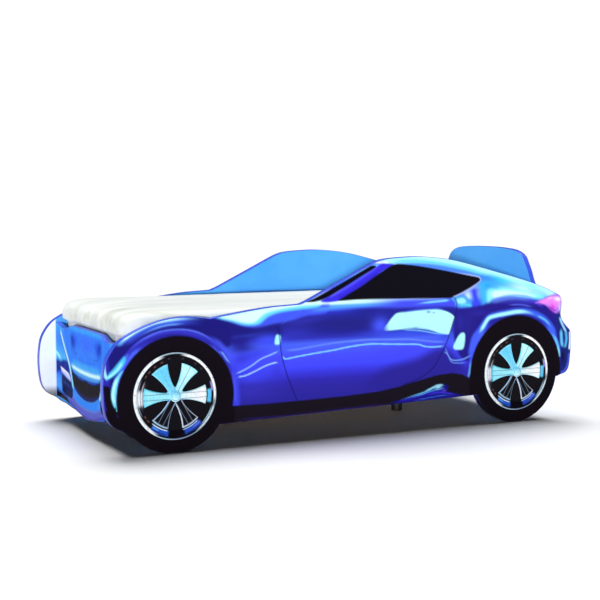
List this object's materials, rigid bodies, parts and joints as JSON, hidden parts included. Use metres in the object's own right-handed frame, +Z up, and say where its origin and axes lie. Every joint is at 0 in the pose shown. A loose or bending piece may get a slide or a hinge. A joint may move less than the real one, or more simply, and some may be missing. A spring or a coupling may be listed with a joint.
{
  "type": "toddler bed",
  "caption": "Flat-board toddler bed cut and printed as a sports car, with printed side panels, front board, humped headboard, slatted base, mattress and chrome wheel covers.",
  "frame": {"origin": "on the floor under the middle of the bed's overall length and width", "axes": "+X along the bed towards the headboard, nose at -X; +Y towards the right-hand side panel; +Z up"},
  "size_m": [1.683, 0.784, 0.586],
  "materials": {
    "blue_board": "MDF board with a satin light-blue melamine face",
    "printed_film": "high-gloss printed film with a clear coat, drawn as blue car bodywork",
    "edge_banding": "satin violet-blue plastic edge banding",
    "pine": "planed, unfinished pine",
    "zinc_steel": "zinc-plated",
    "brass_plated_steel": "yellow-passivated screws",
    "black_plastic": "moulded, fine texture",
    "chrome_trim": "bright chrome plating over moulded plastic",
    "chrome_cap": "bright chrome plating over moulded plastic",
    "mattress_foam": "foam core in a plain knitted cover",
    "white_sheet": "plain white cotton weave"
  },
  "bodies": {
    "root": {"left_side_panel": "blue_board", "right_side_panel": "blue_board", "left_side_film": "printed_film", "right_side_film": "printed_film", "left_edge_band": "edge_banding", "right_edge_band": "edge_banding", "front_board": "blue_board", "front_film": "printed_film", "front_edge_bands": "edge_banding", "headboard": "blue_board", "headboard_edge_band": "edge_banding", "left_rail": "pine", "right_rail": "pine", "centre_beam": "pine", "front_beam_hanger": "zinc_steel", "rear_beam_hanger": "zinc_steel", "centre_legs": "black_plastic", "leg_bolts": "zinc_steel", "leg_glides": "black_plastic", "tyre_glides": "black_plastic", "cam_locks": "zinc_steel", "cam_bolts": "zinc_steel", "dowels": "pine", "rail_screws": "brass_plated_steel", "slat_screws": "brass_plated_steel", "hanger_screws": "brass_plated_steel", "wheel_cover_screws": "zinc_steel", "mattress": "mattress_foam", "fitted_sheet": "white_sheet", "front_left_wheel_cover": "chrome_trim", "rear_left_wheel_cover": "chrome_trim", "front_right_wheel_cover": "chrome_trim", "rear_right_wheel_cover": "chrome_trim", "front_left_hub_cap": "chrome_cap", "rear_left_hub_cap": "chrome_cap", "front_right_hub_cap": "chrome_cap", "rear_right_hub_cap": "chrome_cap", "slat_1": "pine", "slat_2": "pine", "slat_3": "pine", "slat_4": "pine", "slat_5": "pine", "slat_6": "pine", "slat_7": "pine", "slat_8": "pine", "slat_9": "pine", "slat_10": "pine", "slat_11": "pine", "slat_12": "pine", "slat_13": "pine"}
  },
  "joints": []
}
